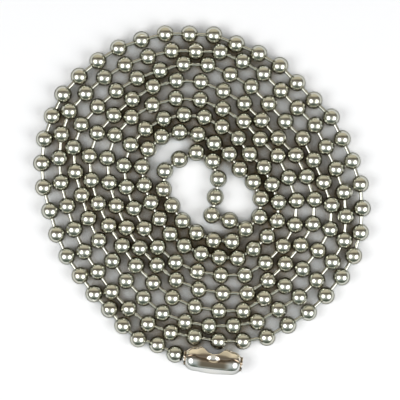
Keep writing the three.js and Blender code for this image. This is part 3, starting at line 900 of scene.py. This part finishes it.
def lamp_glow(tree, place, middle):
    """Bell exp(-d^2 / w^2) of the distance between a place and a lamp's middle."""
    du, dv = (math_node(tree, "MULTIPLY", math_node(tree, "SUBTRACT", at, centre), 1 / GLOW_WIDTH)
              for at, centre in zip(place, middle))
    square = math_node(tree, "MULTIPLY_ADD", du, du, math_node(tree, "MULTIPLY", dv, dv))
    return math_node(tree, "EXPONENT", math_node(tree, "MULTIPLY", square, -1.0))


def room(settings):
    """World: white for the camera and through glass, level grey for matt surfaces, and for gloss
    the bands of a room: a warm wall beyond the coil, a dark strip, the lamps' glow and a dark wall
    on the near side."""
    world = bpy.data.worlds.new("room")
    world.use_nodes = True
    bpy.context.scene.world = world
    tree = world.node_tree
    tree.nodes.clear()
    u, v = mirror_place(tree)
    stops = [((place + 1) / 2, colour) for place, colour in ROOM_BANDS]
    bands = colour_ramp(tree, math_node(tree, "MULTIPLY_ADD", v, 0.5, 0.5), stops, "EASE")
    aside = add_node(
        tree, "ShaderNodeMapRange",
        {"Value": math_node(tree, "ABSOLUTE", u), "From Min": SIDES_SPAN[0],
         "From Max": SIDES_SPAN[1]},
        interpolation_type="SMOOTHSTEP").outputs["Result"]
    walls = mix_colours(tree, aside, bands, ROOM_SIDES)
    glows = [lamp_glow(tree, (u, v), middle) for _, middle, _ in LAMPS]
    glow = math_node(tree, "MULTIPLY", math_node(tree, "ADD", *glows), GLOW)
    lit = add_node(tree, "ShaderNodeVectorMath", {0: walls, 1: glow}, operation="ADD").outputs[0]
    path = add_node(tree, "ShaderNodeLightPath").outputs
    matt = background(tree, MATT_LIGHT, settings.ambient)
    unseen = mix_shaders(tree, path["Is Glossy Ray"], matt, background(tree, lit))
    seen = math_node(tree, "MAXIMUM", path["Is Camera Ray"], path["Is Transmission Ray"])
    surface = mix_shaders(tree, seen, unseen, background(tree, (1, 1, 1)))
    add_node(tree, "ShaderNodeOutputWorld", {"Surface": surface})


def floor_material(settings):
    """Pale matt floor with painted shade: grey in the gaps between balls and brown where they
    nearly touch. Where it is open it has a little light of its own, for the camera, gloss and
    glass, which leaves out the gaps and so deepens their painted shade."""
    material = bpy.data.materials.new("floor")
    material.use_nodes = True
    tree = material.node_tree
    openness = add_node(tree, "ShaderNodeAmbientOcclusion", {"Distance": GAP_REACH}).outputs["AO"]
    # painted shade: the floor's colour goes from pale to grey to brown as balls close in over it
    colours = (settings.floor_deep_painted_shade, settings.floor_gap_painted_shade, settings.floor)
    colour = colour_ramp(tree, openness, list(zip(GAP_OPENNESS, colours)))
    # the floor's own light is given only where it is open, which adds painted shade in the gaps
    opened = add_node(tree, "ShaderNodeMapRange", {
        "Value": openness, "From Min": GAP_OPENNESS[0],
        "From Max": GAP_OPENNESS[2]}).outputs["Result"]
    path = add_node(tree, "ShaderNodeLightPath").outputs
    seen = math_node(tree, "MAXIMUM", path["Is Camera Ray"], path["Is Glossy Ray"])
    seen = math_node(tree, "MAXIMUM", seen, path["Is Transmission Ray"])
    glow = math_node(tree, "MULTIPLY", math_node(tree, "MULTIPLY", seen, opened),
                     settings.floor_glow)
    fill_inputs(tree, tree.nodes["Principled BSDF"], {
        "Roughness": FLOOR_ROUGHNESS, "Specular IOR Level": 0.0, "Base Color": colour,
        "Emission Color": (1, 1, 1), "Emission Strength": glow})
    return material


class CHAIN_OT_stage(bpy.types.Operator):
    """Makes the floor, the lamps, the room and the camera"""

    bl_idname = "chain.stage"
    bl_label = "Stage"

    def execute(self, context):
        settings = context.scene.stage_settings
        mesh = bpy.data.meshes.new("floor")
        corners = [(x * FLOOR_REACH, y * FLOOR_REACH, FLOOR_LEVEL)
                   for x, y in ((-1, -1), (1, -1), (1, 1), (-1, 1))]
        mesh.from_pydata(corners, [], [(0, 1, 2, 3)])
        mesh.materials.append(floor_material(settings))
        floor = bpy.data.objects.new("floor", mesh)
        context.scene.collection.objects.link(floor)
        for name, place, size in LAMPS:
            softbox(name, mirror_direction(*place), *size, settings.softbox)
        room(settings)
        camera = bpy.data.cameras.new("camera")
        camera.sensor_width = SENSOR
        camera.lens = SENSOR * (CAMERA_HEIGHT - BALL_RADIUS) / FRAME_WIDTH
        holder = bpy.data.objects.new("camera", camera)
        holder.location = (*FRAME_CENTRE, CAMERA_HEIGHT)
        context.scene.collection.objects.link(holder)
        context.scene.camera = holder
        context.scene.view_settings.view_transform = "Standard"
        return {"FINISHED"}


class CHAIN_PT_panel(bpy.types.Panel):
    """Lists the chain's pieces, sizes and colours"""

    bl_idname = "CHAIN_PT_panel"
    bl_label = "Blind chain"
    bl_space_type = "VIEW_3D"
    bl_region_type = "UI"
    bl_category = "Blind chain"

    def draw(self, context):
        layout = self.layout
        for name, group in GROUPS.items():
            box = layout.box()
            for key in group.__annotations__:
                box.prop(getattr(context.scene, name), key)
        for operator in OPERATORS:
            layout.operator(operator.bl_idname)


GROUPS = {
    "chain_sizes": ChainSizes,
    "sleeve_sizes": SleeveSizes,
    "chain_finish": ChainFinish,
    "stage_settings": StageSettings,
}
OPERATORS = (CHAIN_OT_stage, CHAIN_OT_balls, CHAIN_OT_links, CHAIN_OT_end_balls, CHAIN_OT_connector)
CLASSES = (*GROUPS.values(), *OPERATORS, CHAIN_PT_panel)


def register():
    for cls in CLASSES:
        bpy.utils.register_class(cls)
    for name, cls in GROUPS.items():
        setattr(bpy.types.Scene, name, bpy.props.PointerProperty(type=cls))


def unregister():
    for name in GROUPS:
        delattr(bpy.types.Scene, name)
    for cls in reversed(CLASSES):
        bpy.utils.unregister_class(cls)


def main():
    register()
    bpy.ops.chain.stage()
    bpy.ops.chain.balls()
    bpy.ops.chain.links()
    bpy.ops.chain.end_balls()
    bpy.ops.chain.connector()


if __name__ == "__main__":
    main()
